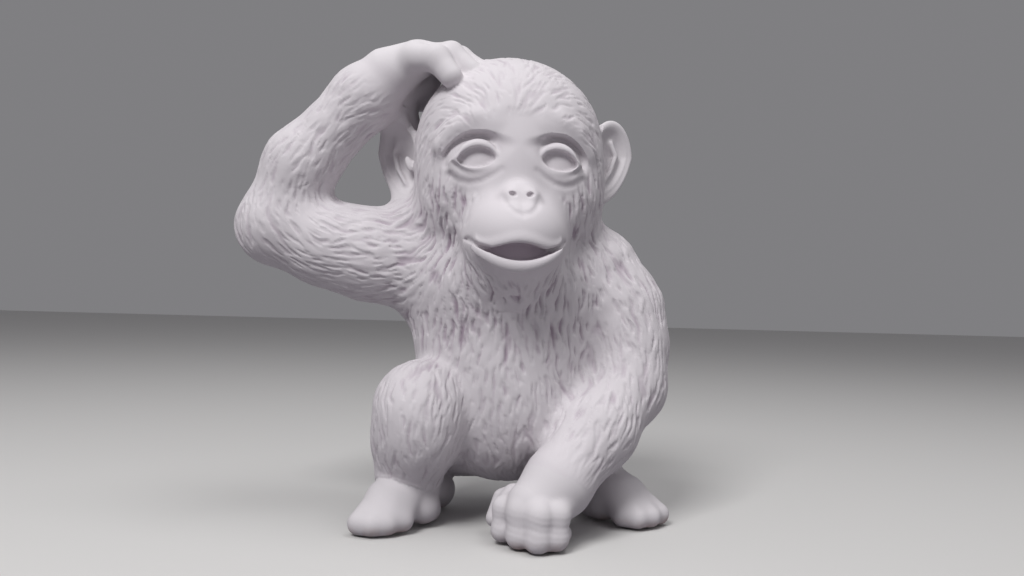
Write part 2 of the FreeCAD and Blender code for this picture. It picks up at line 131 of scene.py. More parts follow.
def model(piece, lumps, softness):
    """Press a piece's lumps onto the clay."""
    forms[piece] = lumps
    place, points = bench(*lump_reach(lumps, softness + SPARE))
    clay[place] = pressed(clay[place], lump_field(points, lumps), softness)


def cast(piece, slot_name):
    """The empty cast of a piece, filled when the figure comes out of its mould."""
    made = bpy.data.objects.new(piece + "_bisque", bpy.data.meshes.new(piece + "_bisque"))
    bpy.context.scene.collection.objects.link(made)
    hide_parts(piece)
    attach(made, "root")
    casts[piece] = made, slot_name


model("trunk", [
    ("egg", 1.0, (3, 6, 44), (30.5, 28, 31)),
    ("egg", 14.0, (1.5, 6, 72), (33, 26, 28)),
    ("egg", 12.0, (3, 13, 84), (33, 22, 22)),
    ("egg", 10.0, (1, -4, 84), (27, 22, 18)),
], 5.0)
cast("trunk", "carved_bisque")

# Head. A round skull with furred cheeks and a beard ruff, and a bare face:
# arched brows, blank eyes in rimmed lids, a small nose and a parted mouth.
# Cast with the trunk; the face is smoothed with a wet sponge before firing.


def carved(lump, tool, softness):
    """A lump with a tool's shape taken out of it."""
    return -pressed(-lump, tool, softness)


def spin(degrees, axis="Z"):
    """A turn about one axis."""
    return np.array(Matrix.Rotation(math.radians(degrees), 3, axis), np.float32)


def fade(value, start, end):
    """0 up to the start, 1 from the end on, and smooth between them."""
    share = np.clip((value - start) / (end - start), 0, 1)
    return share * share * (3 - 2 * share)


def stroke(across, up, spine, width):
    """A tool's mark along a line drawn on the face: 1 on the line, nothing beside it."""
    near = 1e9
    for (a_across, a_up), (b_across, b_up) in zip(spine[:-1], spine[1:]):
        way_across, way_up = b_across - a_across, b_up - a_up
        share = np.clip(((across - a_across) * way_across + (up - a_up) * way_up)
                        / (way_across ** 2 + way_up ** 2), 0, 1)
        near = np.minimum(near, (across - a_across - share * way_across) ** 2
                          + (up - a_up - share * way_up) ** 2)
    return np.exp(-near / width ** 2)


def tube(points, spine, radius):
    """Distance from a thin roll that follows several points."""
    field = None
    for a, b in zip(spine[:-1], spine[1:]):
        part = roll(points, a, b, radius, radius)
        field = part if field is None else np.minimum(field, part)
    return field


SKULL = np.array([1.8, 3.0, 131.2], np.float32)
HEAD_TURN = spin(8.0)
model("head", [
    ("egg", 1.0, (1.8, 3, 131.2), (33, 34, 31)),
    ("egg", 14.0, (3, -2, 110), (31, 27, 24)),
    ("egg", 7.0, (4.6, -25.8, 97), (17.3, 19, 15)),
], 6.0)

# The face is worked in the head's own frame: x across, y back and z up, in mm.
FACE_LOW, FACE_HIGH = (-36, -52, 74), (42, 8, 146)
place, points = bench(FACE_LOW, FACE_HIGH)
local = (points - SKULL) @ HEAD_TURN
x, y, z = local[..., 0], local[..., 1], local[..., 2]
front = fade(-y, 12.0, 20.0)             # 1 on the face, 0 behind it
AWAY = 9.0                               # a distance that leaves the clay as it is
FACE_MIDDLE = -1.0                       # the face's middle line, a little to the right of the skull's

CHIN = ((-1.4, -23, -45), (14.0, 13, 9.5))
CHIN_SOFTNESS = 6.0
BROW_RIDGE = ((8, -28.8, 3.0), (14, -28.0, 3.6), (19.5, -25.6, 1.0), (23.5, -22.0, -4.0))
BROW_GIRTH = 3.0
CHEEK_ACROSS, CHEEK_BACK, CHEEK_UP = 15, -19.5, -19
CHEEK_SIZE = (10, 6.2, 7)
FLESH = 4.0                              # how softly a brow and a cheek run into the face


def brow_and_cheek(field, side):
    """The ridge over one eye, and the cheek under it."""
    ridge = [(side * across + FACE_MIDDLE, back, up) for across, back, up in BROW_RIDGE]
    field = pressed(field, tube(local, ridge, BROW_GIRTH), FLESH)
    cheek = egg(local, (side * CHEEK_ACROSS, CHEEK_BACK, CHEEK_UP), CHEEK_SIZE)
    return pressed(field, cheek, FLESH)


EYE_ACROSS, EYE_UP = 13.3, -9.3          # an eye's middle
BALL_ACROSS, BALL_BACK = 12.2, -18.7     # the middle of the rounding under its lids
BALL_DROP = 0.8                          # how much lower the eyeball itself sits
LID, EYEBALL = 13.5, 12.0                # radii of that rounding and of the eyeball
LID_HALF_WIDTH, LID_RISE, LID_DROP, LID_TILT = 6.0, 3.5, 2.8, 0.08
LID_REACH, BAG_REACH = 2.8, 4.7          # how wide the upper lid is, and the lower one with its bag
LOWER_RIM, UPPER_RIM_GAIN = 0.65, 0.75   # girth of the rolled edge, and how much more it has above
BAG_GROOVE, BAG_GROOVE_AT, BAG_GROOVE_WIDTH = 0.4, 1.9, 0.7
SOCKET_TOP, SOCKET_PEAK, SOCKET_DEPTH = 8.9, 0.5, 3.6
SOCKET_OUTER_BEND, SOCKET_INNER_BEND = 0.0625, 0.0165
SOCKET_BACK, LIDS_BACK, EYEBALL_BACK = -12, -15, -20     # nothing is worked behind these
BAG_CREASE = ((8.2, -4.9), (5.4, -7.0), (2.3, -7.8), (-1.2, -7.2), (-4.7, -5.3), (-7.5, -3.5))
CREASE_WIDTH, CREASE_DEPTH = 0.95, 0.45


def almond(across, up):
    """How far outside the lid opening a point is; the outer corner is the lower one."""
    up = up + LID_TILT * across
    bend = np.clip(1 - (across / LID_HALF_WIDTH) ** 2, 0, 1) ** 0.7
    beyond = np.maximum(np.abs(across) - LID_HALF_WIDTH, 0)
    top, bottom = LID_RISE * bend, -LID_DROP * bend
    return np.maximum(up - top, bottom - up) * 0.85 + beyond


def eye(field, side):
    """One eye: its socket, its lids, the blank eyeball and the crease of the bag below."""
    outward = (x - FACE_MIDDLE) * side
    across, up = outward - EYE_ACROSS, z - EYE_UP
    out = np.sqrt((outward - BALL_ACROSS) ** 2 + (y - BALL_BACK) ** 2 + up ** 2)
    opening = almond(across, up)
    upper = fade(up + LID_TILT * across, -3.0, 1.0)
    inner = fade(-across, 2.0, 9.0)
    # The socket is crisp under the brow, and dies away towards the nose and the cheek.
    bend = np.where(across > SOCKET_PEAK, SOCKET_OUTER_BEND, SOCKET_INNER_BEND)
    under = SOCKET_TOP - bend * (across - SOCKET_PEAK) ** 2 - up
    beside = (across + 7.0) * -0.825 + (up + 2.0) * -0.567
    depth = SOCKET_DEPTH * fade(up + 0.1 * across, -5.0, 3.0)
    depth = depth * (1 - fade(across, 6.0, 12.0)) * (1 - 0.6 * inner)
    depth = depth * fade(under, -0.2, 1.0 + 2.5 * inner) * fade(-beside, -2.0, 4.0)
    field = field + np.where(y < SOCKET_BACK, depth, 0)
    # A rolled upper lid, and a lower one that runs on into the bag.
    bagged = BAG_GROOVE * np.exp(-((opening - BAG_GROOVE_AT) / BAG_GROOVE_WIDTH) ** 2) * (1 - upper)
    reach = LID_REACH * upper + BAG_REACH * (1 - upper)
    lids = carved(np.maximum(out - LID + bagged, -opening), reach - opening, 0.8)
    field = pressed(field, np.where(y < LIDS_BACK, lids, AWAY), 0.6 + 2.8 * (1 - upper))
    girth = LOWER_RIM + UPPER_RIM_GAIN * upper
    rim = np.sqrt((opening - girth) ** 2 + (out - LID - 0.05) ** 2) - girth
    field = pressed(field, np.where(y < LIDS_BACK, rim, AWAY), 0.5)
    # The eyeball is set back behind the lids.
    ball = np.sqrt((outward - BALL_ACROSS) ** 2 + (y - BALL_BACK) ** 2 + (up + BALL_DROP) ** 2) - EYEBALL
    hole = np.maximum(opening + 0.1, -ball - 0.4)
    field = carved(field, np.where(y < EYEBALL_BACK, hole, AWAY), 0.3)
    field = pressed(field, ball, 0.2)
    return field + CREASE_DEPTH * stroke(across, up, BAG_CREASE, CREASE_WIDTH) * front


NOSE_BRIDGE = ((-0.4, -30.2, -13), (6.0, 4.2, 12.5))
NOSE_TIP = ((FACE_MIDDLE, -36.6, -22.0), (5.6, 3.5, 4.4))
NOSE_FOLD = ((-5.7, -22.0), (-4.8, -25.2), (-2.4, -27.4), (0, -28.0),
             (2.4, -27.4), (4.8, -25.2), (5.7, -22.0))
LIP_GROOVE = ((0, -24.0), (0, -28.5))
FOLD_DEPTH, GROOVE_DEPTH, PAD_HEIGHT = 0.42, 0.2, 0.3
WING_ACROSS, WING_SIZE = 3.1, (2.6, 2.5, 2.5)
NOSTRIL_ACROSS, NOSTRIL_SIZE, NOSTRIL_SLANT = 2.75, (1.0, 1.7, 0.55), -18.0


def nose(field):
    """The bridge and the tip, the two nostrils and the soft fold below."""
    across = x - FACE_MIDDLE
    field = pressed(field, egg(local, *NOSE_BRIDGE), 5.0)
    field = pressed(field, egg(local, *NOSE_TIP), 3.5)
    fold, groove = stroke(across, z, NOSE_FOLD, 0.9), stroke(across, z, LIP_GROOVE, 0.7)
    field = field + FOLD_DEPTH * fold * front + GROOVE_DEPTH * front * groove
    for side in (-1, 1):
        wing = egg(local, (side * WING_ACROSS + FACE_MIDDLE, -38.6, -22.0), WING_SIZE)
        field = pressed(field, wing, 2.4)
        pad = stroke(across, z, [(side * 2.9, -24.6), (side * 2.7, -25.6)], 1.6)
        field = field - PAD_HEIGHT * front * pad
        nostril = egg(local, (side * NOSTRIL_ACROSS + FACE_MIDDLE, -41.0, -21.2), NOSTRIL_SIZE,
                      spin(side * NOSTRIL_SLANT, "Y"))
        field = carved(field, nostril, 0.9)
    return field


MOUTH_ACROSS = -1.7                      # the mouth's middle
LIP_PEAK, LIP_FALL, LIP_FLICK = -36.9, 0.03582, 1.831e-4
MOUTH_FLOOR, CORNER_RISE, MOUTH_HALF_WIDTH = -41.8, 6.4, 15.2
MUZZLE_BACK, MUZZLE_UP = -28.9, -34.2
MUZZLE_HALF_WIDTH, MUZZLE_DEPTH, MUZZLE_HALF_HEIGHT = 17.6, 19.0, 15.0
UPPER_LIP_BACK, UPPER_LIP_BULGE, UPPER_LIP_SPAN, UPPER_LIP_INSET = -29.3, 18.6, 19.0, 1.3
UPPER_LIP_GIRTH, UPPER_LIP_HALF_WIDTH = 1.5, 14.0
LOWER_LIP = ((-0.9, 1.4, 1.6), (-2.0, 2.7, 1.7))         # two rolls: ahead of the muzzle, drop, girth
LOWER_LIP_LEAST, LOWER_LIP_HALF_WIDTH, LIP_TAPER = 0.5, 18.0, 16.5
LIP_END = 1.7                            # how far the lower lip sinks in at its ends
UNDERLIP = ((MOUTH_ACROSS, -50.5, -53.8), (20.0, 13.0, 8.4))
MOUTH_BACK, MOUTH_CURVE = 41.8, 0.014
CORNER_CREASE = ((9.8, -38.7), (13.2, -37.3), (15.6, -35.4))
CORNER_WIDTH, CORNER_DEPTH = 0.55, 0.8


def mouth_top(across):
    """The height of the upper lip's edge."""
    return LIP_PEAK - LIP_FALL * across ** 2 + LIP_FLICK * across ** 4


def mouth_bottom(across):
    """The height of the lower lip's edge."""
    return MOUTH_FLOOR + CORNER_RISE * (across / MOUTH_HALF_WIDTH) ** 2


def muzzle_front(across, up):
    """How far forward the bare muzzle stands."""
    return MUZZLE_BACK - MUZZLE_DEPTH * np.sqrt(np.clip(
        1 - (across / MUZZLE_HALF_WIDTH) ** 2 - ((up - MUZZLE_UP) / MUZZLE_HALF_HEIGHT) ** 2, 0, 1))


def mouth(field):
    """The parted opening, the rolled lips and the creases at the corners."""
    across = x - MOUTH_ACROSS
    arc = np.sqrt(np.clip(1 - (across / UPPER_LIP_SPAN) ** 2, 0, 1))
    lip_front = UPPER_LIP_BACK - UPPER_LIP_BULGE * arc + UPPER_LIP_INSET
    taper_off = np.clip(1 - (np.abs(across) / LIP_TAPER) ** 2, 0, 1)
    ends = LIP_END * fade(np.abs(across), 13.0, 17.0)
    field = carved(field, egg(local, *UNDERLIP), 2.5)
    for ahead, drop, girth in LOWER_LIP:
        path = mouth_bottom(across) - drop
        lip = np.sqrt(((y - muzzle_front(across, path) - ahead) * 0.8) ** 2 + ((z - path) * 0.93) ** 2)
        lip = lip - LOWER_LIP_LEAST - (girth - LOWER_LIP_LEAST) * taper_off ** 0.7 + ends
        field = pressed(field, np.where(np.abs(across) < LOWER_LIP_HALF_WIDTH, lip, AWAY), 1.3)
    lip = np.sqrt(((y - lip_front - 0.6) * 0.8) ** 2 + ((z - mouth_top(across) - 1.3) * 0.93) ** 2)
    lip = lip - UPPER_LIP_GIRTH * taper_off
    field = pressed(field, np.where(np.abs(across) < UPPER_LIP_HALF_WIDTH, lip, AWAY), 2.0)
    gap = np.maximum(z - mouth_top(across), mouth_bottom(across) - z) * 0.95
    field = carved(field, np.maximum(gap, y + MOUTH_BACK - MOUTH_CURVE * across ** 2), 0.7)
    for side in (-1, 1):
        crease = [(side * out, up) for out, up in CORNER_CREASE]
        field = field + CORNER_DEPTH * stroke(across, z, crease, CORNER_WIDTH) * front
    return field


field = pressed(clay[place], egg(local, *CHIN), CHIN_SOFTNESS)
for side in (-1, 1):
    field = eye(brow_and_cheek(field, side), side)
clay[place] = mouth(nose(field))
cast("head", "carved_bisque")

# Ears. Two thin cupped shells luted to the sides of the head and turned
# forward, with a rolled rim, a ridge inside it and a hollow by the cheek.
# The right one shows only its edge behind the raised forearm.

LOBE_LEAN, TIP_LEAN, LOBE_START = 0.34, 0.05, 3.0
EAR_EDGE, BOWL_EDGE = 1.7, 2.6           # how wide the edge is beside the bowl and above it
EAR_RIM, RIM_AT = 1.3, 0.93              # girth of the rolled rim, and where it runs
EAR_RIDGE = ((0.5, -0.2, 7.5), (2.6, -0.9, 3.0), (2.4, -0.9, -3.0), (0.5, -0.6, -8.0))
EAR_RIDGE_GIRTH = 1.2
EAR_KNOB = ((-4.4, -2.0, -1.5), (1.7, 1.6, 3.0))


def model_ear(piece, centre, size, turn):
    """One ear: a thin shell with its bowl, rolled rim, inner ridge and knob."""
    centre = np.asarray(centre, np.float32)
    width, thickness, height = size
    side = 1 if centre[0] > 0 else -1
    axes = spin(turn)
    forms[piece] = [("egg", 1.0, tuple(centre), size, axes)]
    place, points = bench(centre - height - 3, centre + height + 3)
    local = (points - centre) @ axes
    local = local * np.array([side, 1, 1], np.float32)
    # The lobe tapers: the shell leans in to the head towards its foot.
    up = local[..., 2]
    leaned = local.copy()
    leaned[..., 0] = (local[..., 0] + LOBE_LEAN * np.maximum(LOBE_START - up, 0)
                      - TIP_LEAN * np.maximum(up, 0))
    shell = egg(leaned, (0, 0, 0), (width, thickness, height))
    bowl = egg(leaned, (-0.8, -thickness * 1.15, 0.6),
               (width - EAR_EDGE, thickness * 1.5, height - BOWL_EDGE))
    shell = carved(shell, bowl, 0.9)
    rim = np.abs(np.sqrt((leaned[..., 0] / width) ** 2 + (leaned[..., 2] / height) ** 2) - RIM_AT) * width
    rolled = np.sqrt(rim ** 2 + (local[..., 1] + thickness * 0.35) ** 2) - EAR_RIM
    shell = pressed(shell, np.where(leaned[..., 0] > -width * 0.55, rolled, AWAY), 0.8)
    shell = pressed(shell, tube(leaned, EAR_RIDGE, EAR_RIDGE_GIRTH), 1.2)
    shell = pressed(shell, egg(leaned, *EAR_KNOB), 1.2)
    clay[place] = pressed(clay[place], shell, 1.6)


model_ear("left_ear", (37.5, 6, 127), (10, 3.2, 15), 35)
model_ear("right_ear", (-37.0, 6, 126), (9.6, 3.2, 16), -36)
cast("left_ear", "smooth_bisque")
cast("right_ear", "smooth_bisque")

# Raised right arm. The upper arm juts out level from the shoulder and the
# forearm folds back up to the crown. Rolls of clay luted on at the shoulder,
# with the hair tooled along the arm.


def taper(softness, *joints):
    """Rolls from joint to joint; each joint is (point, radius)."""
    return [("roll", softness, a, b, first, last)
            for (a, first), (b, last) in zip(joints[:-1], joints[1:])]


SHOULDER = ("egg", 6.0, (-32, 5, 103), (8, 11, 7))
model("right_upper_arm", taper(6.0, ((-24, 7, 88), 18), ((-48, 4, 92.5), 15.4), ((-62, 2, 95.5), 14),
                               ((-79, 0, 100.5), 12.6)) + [SHOULDER], 9.0)
model("right_forearm", taper(6.0, ((-80, 0, 102), 12.2), ((-71, -1, 123), 12), ((-49, -3, 147), 10.5),
                             ((-41, -4, 154), 9.4)), 7.0)
cast("right_upper_arm", "carved_bisque")
cast("right_forearm", "carved_bisque")

# Raised right hand. A bare hand laid on the crown: its palm closes over a deep
# hollow beside the temple and four curled fingers meet the top of the head.
# Modelled in rolls, sponged smooth, and cast with the arm.

hand_lumps = [("roll", 1.0, (-41, -4, 155), (-31, -6, 159.5), 9.4, 7.2),
              ("roll", 5.0, (-40, 5, 153), (-30, 9, 156), 8.4, 6.6)]
# Each finger: its girth, then the knuckle, the bend and the tip.
RAISED_FINGERS = ((4.7, (-31, -11.0, 159.0), (-23, -17.0, 157.2), (-18.0, -19.0, 151.0)),
                  (4.3, (-28, -5, 161.3), (-18.5, -11, 160.5), (-11.5, -13.5, 154.5)),
                  (4.0, (-27, 2, 162.2), (-16, -3, 161.6), (-8.5, -5, 157.0)),
                  (3.8, (-28, 9, 160.5), (-17, 6, 160.5), (-9.5, 5, 157.0)))
SWELL = 0.5                              # how much thicker a knuckle is, and how much thinner a tip
for girth, knuckle, bend, tip in RAISED_FINGERS:
    hand_lumps += [("roll", 2.6, knuckle, bend, girth + SWELL, girth),
                   ("roll", 2.0, bend, tip, girth, girth - SWELL)]
THUMB_BEND = (-31, 16, 151)
hand_lumps += [("roll", 3.0, (-38, 10, 152), THUMB_BEND, 5.0, 4.2),
               ("roll", 3.0, THUMB_BEND, (-24, 18, 150), 4.2, 3.6),
               ("roll", 4.0, (-40, 8, 151), (-35, 11, 134), 7.0, 6.0)]
model("right_hand", hand_lumps, 1.6)
cast("right_hand", "smooth_bisque")

# Left arm. It hangs from the shoulder, bends at the elbow and slants in to the
# knuckles, where it props the figure up. Tooled hair runs down to the wrist.
# Rolls of clay luted on at the shoulder.

model("left_upper_arm", taper(6.0, ((33, 9, 87), 17.5), ((42, 8, 74), 16.0), ((45, 5, 62), 14.2),
                              ((45, 1, 49), 13.6)), 9.0)
model("left_forearm", taper(6.0, ((44.5, 0, 47), 13.3), ((34, -14, 34), 12.2), ((21, -27, 20), 11)), 6.0)
cast("left_upper_arm", "carved_bisque")
cast("left_forearm", "carved_bisque")

# Left fist. A bare fist that stands on its folded fingers, with the thumb
# tucked in behind the index finger. Modelled in rolls, with the knuckles
# wrinkled by a wire tool.

fist_lumps = taper(4.0, ((20, -28, 18), 11), ((13, -33, 12), 9.6))
# Each finger: how far across, how far back, and its girth.
FIST_FINGERS = ((3.5, -28, 3.7), (8.7, -34, 4.3), (14.4, -38.0, 4.5), (19.9, -36, 4.1))
ROOT_UP, KNUCKLE_UP, BEND_UP, TIP_UP = 14, 11.5, 4.6, 3.8
for across, back, girth in FIST_FINGERS:
    root, knuckle = (across + 3, back + 6, ROOT_UP), (across, back - 3.0, KNUCKLE_UP)
    bend, tip = (across - 0.3, back - 3.5, BEND_UP), (across + 2, back + 5, TIP_UP)
    fist_lumps += [("roll", 1.9, root, knuckle, girth, girth),
                   ("roll", 1.9, knuckle, bend, girth, girth * 0.97),
                   ("roll", 1.9, bend, tip, girth * 0.97, girth * 0.85)]
# Flesh between the fingers, at the knuckles and at the bends: its height, and how far ahead.
WEBS = ((11.0, 2.9), (4.9, 3.3))
for one, other in zip(FIST_FINGERS[:-1], FIST_FINGERS[1:]):
    for up, ahead in WEBS:
        start, end = (one[0], one[1] - ahead, up), (other[0], other[1] - ahead, up)
        fist_lumps += [("roll", 1.4, start, end, 2.8, 3.2)]
fist_lumps += [("roll", 2.0, (3, -20, 12), (0.5, -22, 6), 3.6, 3.2)]
model("left_hand", fist_lumps, 4.0)
cast("left_hand", "smooth_bisque")

# Right leg. The ape squats, so the thigh comes forward from the hip to the
# knee, and the short shin drops to the ankle in a furred cuff.

model("right_thigh", taper(4.0, ((-13, 17, 32), 20), ((-25, -13, 40.5), 15)), 5.0)
model("right_shin", taper(4.0, ((-25.5, -15, 40), 15), ((-27, -12, 30), 14.2), ((-29, -9, 20), 12))
      + [("egg", 4.0, (-25, -17, 35), (13.5, 14, 16))], 4.0)
cast("right_thigh", "carved_bisque")
cast("right_shin", "carved_bisque")

# Left leg. The same squatting leg, half hidden behind the left forearm, and
# turned further out. Modelled in rolls and combed down to the ankle.

model("left_thigh", taper(4.0, ((18, 18, 32), 20), ((31, 3, 42), 13.5)), 5.0)
model("left_shin", taper(4.0, ((31, 3, 42), 12.8), ((33.5, 8, 28), 11.5), ((34, 12, 18), 10.2)), 4.0)
cast("left_thigh", "carved_bisque")
cast("left_shin", "carved_bisque")

# Feet. Bare flat feet: a heel, an instep and four toes in front, with the
# great toe set back on the inner side like a thumb. They stand on the table on
# unglazed soles, which carry a rub of red-brown from the kiln shelf.


def foot_lumps(heel, ankle, toes, great):
    """The rolls of a foot: heel, instep and toes, and a great toe with its own root."""
    ankle = np.asarray(ankle, float)
    instep = tuple(ankle + (0, 0, 1))
    lumps = [("roll", 1.0, heel, tuple(ankle), 7.5, 9.0)]
    for toe in toes:
        root = tuple(0.45 * ankle + 0.55 * np.asarray(toe) + (0, 0, 2.5))
        lumps += [("roll", 4.0, instep, root, 8.5, 5.3), ("roll", 2.8, root, toe, 5.1, 4.1)]
    great_root, great_tip = great
    lumps += [("roll", 4.0, tuple(ankle), great_root, 8.0, 5.0),
              ("roll", 3.0, great_root, great_tip, 5.0, 4.4)]
    return lumps


RIGHT_TOES = ((-43, -25.5, 4), (-38.6, -27.5, 4.2), (-34, -26, 4.3), (-29.6, -22, 4.5))
LEFT_TOES = ((57.2, -1.5, 4), (53.5, -6.5, 4.2), (48.7, -9.5, 4.3), (44, -7.5, 4.5))
RIGHT_GREAT_TOE = ((-24, -12, 6.5), (-22.3, -6.5, 4.5))
LEFT_GREAT_TOE = ((38, 2, 6), (35, 6, 4.5))
model("right_foot", foot_lumps((-22, 15, 7), (-29, -7, 13), RIGHT_TOES, RIGHT_GREAT_TOE), 2.0)
model("left_foot", foot_lumps((32, 24, 7), (36, 11, 12), LEFT_TOES, LEFT_GREAT_TOE), 3.0)
cast("right_foot", "smooth_bisque")
cast("left_foot", "smooth_bisque")

# Surface of the clay. The whole figure is levelled on the table, skinned, and
# combed: tooled locks and finer strokes follow the lie of the hair, and the
# bare skin is left smooth.

SOLE_SLICE, SOLE_EDGE = 6.0, 0.8         # how much is levelled, and how round the edge is left
SKIN_BAND = 3.0                          # how deep the skin's distances are kept
SETTLE = 0.3                             # the most that the skin moves onto the clay
place, points = bench(CLAY_LOW, (CLAY_HIGH[0], CLAY_HIGH[1], SOLE_SLICE))
clay[place] = carved(clay[place], points[..., 2], SOLE_EDGE)

skin = openvdb.FloatGrid(SKIN_BAND)
skin.copyFromArray(np.clip(clay, -SKIN_BAND, SKIN_BAND))
vertices, quads = skin.convertToQuads()
vertices = np.asarray(vertices, np.float64) * GRAIN + CLAY_LOW
quads = np.asarray(quads, np.int64)


def sampled(values, points, low, spacing):
    """A field read between its grid points."""
    at = np.clip((points - low) / spacing, 0, np.array(values.shape[:3]) - 1.001)
    base = at.astype(np.int32)
    share = (at - base).astype(np.float32)
    i, j, k = base[:, 0], base[:, 1], base[:, 2]
    u, v, w = (share[:, axis] if values.ndim == 3 else share[:, axis, None] for axis in range(3))
    return (((values[i, j, k] * (1 - w) + values[i, j, k + 1] * w) * (1 - v)
             + (values[i, j + 1, k] * (1 - w) + values[i, j + 1, k + 1] * w) * v) * (1 - u)
            + ((values[i + 1, j, k] * (1 - w) + values[i + 1, j, k + 1] * w) * (1 - v)
               + (values[i + 1, j + 1, k] * (1 - w) + values[i + 1, j + 1, k + 1] * w) * v) * u)


def slope(points, reach):
    """The way out of the clay at each point."""
    way = np.empty((len(points), 3), np.float64)
    for axis in range(3):
        step = np.zeros(3)
        step[axis] = reach
        way[:, axis] = (sampled(clay, points + step, CLAY_LOW, GRAIN)
                        - sampled(clay, points - step, CLAY_LOW, GRAIN))
    return way / np.maximum(np.sqrt((way ** 2).sum(1)), 1e-9)[:, None]


normals = slope(vertices, GRAIN)
across_one = vertices[quads[:, 2]] - vertices[quads[:, 0]]
across_two = vertices[quads[:, 3]] - vertices[quads[:, 1]]
if (np.cross(across_one, across_two) * normals[quads[:, 0]]).sum() < 0:
    quads = quads[:, ::-1]
vertices -= normals * np.clip(sampled(clay, vertices, CLAY_LOW, GRAIN), -SETTLE, SETTLE)[:, None]

# The lie of the hair: where the comb was held in the figure's millimetres, the way it was drawn,
# and how far that counts.
COMBING = (
    # forehead whorl, crown and back of the head
    ((8, -27, 140), (0.25, -0.2, 1.0), 9), ((-8, -24, 146), (-0.7, 0.3, 0.9), 9),
    ((20, -22, 140), (0.9, 0.3, 0.7), 9), ((5, -12, 160), (0.1, 1.0, 0.3), 14),
    ((5, 12, 160), (0, 1.0, -0.3), 16), ((-20, -8, 146), (-0.9, 0.6, 0.1), 12),
    ((26, -10, 142), (0.8, 0.8, -0.2), 12), ((2, 36, 135), (0, 0.2, -1), 20),
    ((2, 34, 112), (0, 0, -1), 20),
    # temples and cheeks down to the beard
    ((33, -12, 130), (0.3, 0.5, -0.9), 10), ((-29, -14, 130), (-0.3, 0.4, -0.9), 10),
    ((32, -14, 114), (0.1, 0.2, -1), 10), ((-28, -18, 112), (0.05, 0.1, -1), 10),
    ((24, -22, 100), (0.25, 0.1, -1), 9), ((-18, -24, 98), (-0.05, 0.0, -1), 9),
    ((14, -24, 84), (0.2, -0.1, -1), 10), ((-8, -22, 82), (-0.15, -0.1, -1), 10),
    ((4, -30, 80), (0, -0.3, -1), 10),
    # chest and belly
    ((4, -24, 72), (0, -0.05, -1), 14), ((-18, -14, 74), (-0.35, 0, -1), 12),
    ((24, -12, 74), (0.3, 0, -1), 12), ((4, -22, 50), (0.05, 0.05, -1), 16),
    ((-18, -10, 50), (-0.2, 0, -1), 14), ((24, -10, 50), (0.3, 0, -1), 14),
    ((4, -14, 24), (0, 0.4, -1), 16),
    # back and flanks
    ((4, 36, 84), (0, 0, -1), 22), ((4, 34, 50), (0, -0.1, -1), 22), ((-26, 20, 70), (-0.1, 0.2, -1), 18),
    ((34, 22, 64), (0.1, 0.2, -1), 18),
    # raised arm: out along the upper arm, up the forearm
    ((-30, -6, 92), (-1, 0.05, 0.12), 14), ((-50, -6, 92), (-1, 0, 0.05), 14),
    ((-50, 14, 94), (-1, 0, 0.1), 14), ((-68, -6, 92), (-0.9, 0, 0.35), 11),
    ((-84, -6, 96), (-0.4, 0, 0.9), 10), ((-90, -4, 106), (0.1, 0, 1), 10),
    ((-80, -8, 116), (0.45, 0, 0.9), 12), ((-66, -8, 132), (0.6, 0, 0.8), 12),
    ((-50, -10, 150), (0.8, 0, 0.55), 12), ((-78, 10, 112), (0.45, 0, 0.9), 12),
    ((-60, 10, 138), (0.6, 0, 0.8), 12),
    # left arm: down the upper arm, in along the forearm
    ((38, -2, 92), (0.7, -0.1, -0.8), 12), ((50, 0, 80), (0.45, -0.1, -1), 12),
    ((54, 0, 62), (0.05, -0.1, -1), 12), ((46, 18, 78), (0.3, 0.1, -1), 14),
    ((54, -6, 46), (-0.35, -0.3, -0.9), 11), ((40, -20, 36), (-0.7, -0.5, -0.7), 11),
    ((28, -30, 26), (-0.7, -0.6, -0.6), 10), ((40, 8, 48), (-0.3, -0.4, -1), 12),
    # legs
    ((-26, -20, 52), (-0.15, -0.6, -0.6), 9), ((-14, -8, 52), (-0.5, -0.8, -0.1), 12),
    ((-30, -26, 40), (-0.1, -0.2, -1), 10), ((-28, -24, 26), (-0.1, 0.1, -1), 10),
    ((-38, -6, 36), (-0.2, 0.1, -1), 12), ((-26, 20, 40), (-0.3, -0.2, -1), 16),
    ((34, -8, 46), (0.2, -0.4, -0.9), 10), ((44, 4, 34), (0.2, 0.1, -1), 12),
    ((30, 22, 40), (0.3, 0, -1), 16),
)
LAY = 3.0                                # spacing of the points that hold the lie, in mm
SCATTER = 0.28                           # how unevenly the comb was drawn
lay_shape = tuple(np.ceil((CLAY_HIGH - CLAY_LOW) / LAY).astype(int) + 1)
lay_points = np.stack(np.meshgrid(*[np.arange(n) * LAY + CLAY_LOW[i] for i, n in enumerate(lay_shape)],
                                  indexing="ij"), -1)
lay = np.zeros(lay_shape + (3,))
for at, way, reach in COMBING:
    way = np.asarray(way) / np.linalg.norm(way)
    lay += (np.exp(-((lay_points - at) ** 2).sum(-1) / (2 * reach ** 2)) + 1e-9)[..., None] * way
lay = lay / np.maximum(np.linalg.norm(lay, axis=-1, keepdims=True), 1e-12)
dice = np.random.default_rng(7)
lay = (lay + SCATTER * dice.standard_normal(lay.shape)).astype(np.float32)

SLOPE = 1.2                              # how far apart the clay's slope is read, in mm
coarse = max(1, round(SLOPE / GRAIN))
thin = clay[::coarse, ::coarse, ::coarse]
steepest = np.stack(np.gradient(thin, GRAIN * coarse), -1).astype(np.float32)
steepest /= np.maximum(np.linalg.norm(steepest, axis=-1, keepdims=True), 1e-6)

GRITS = 96                               # grains along each side of the block of grit
speckle = dice.standard_normal((GRITS, GRITS, GRITS)).astype(np.float32)


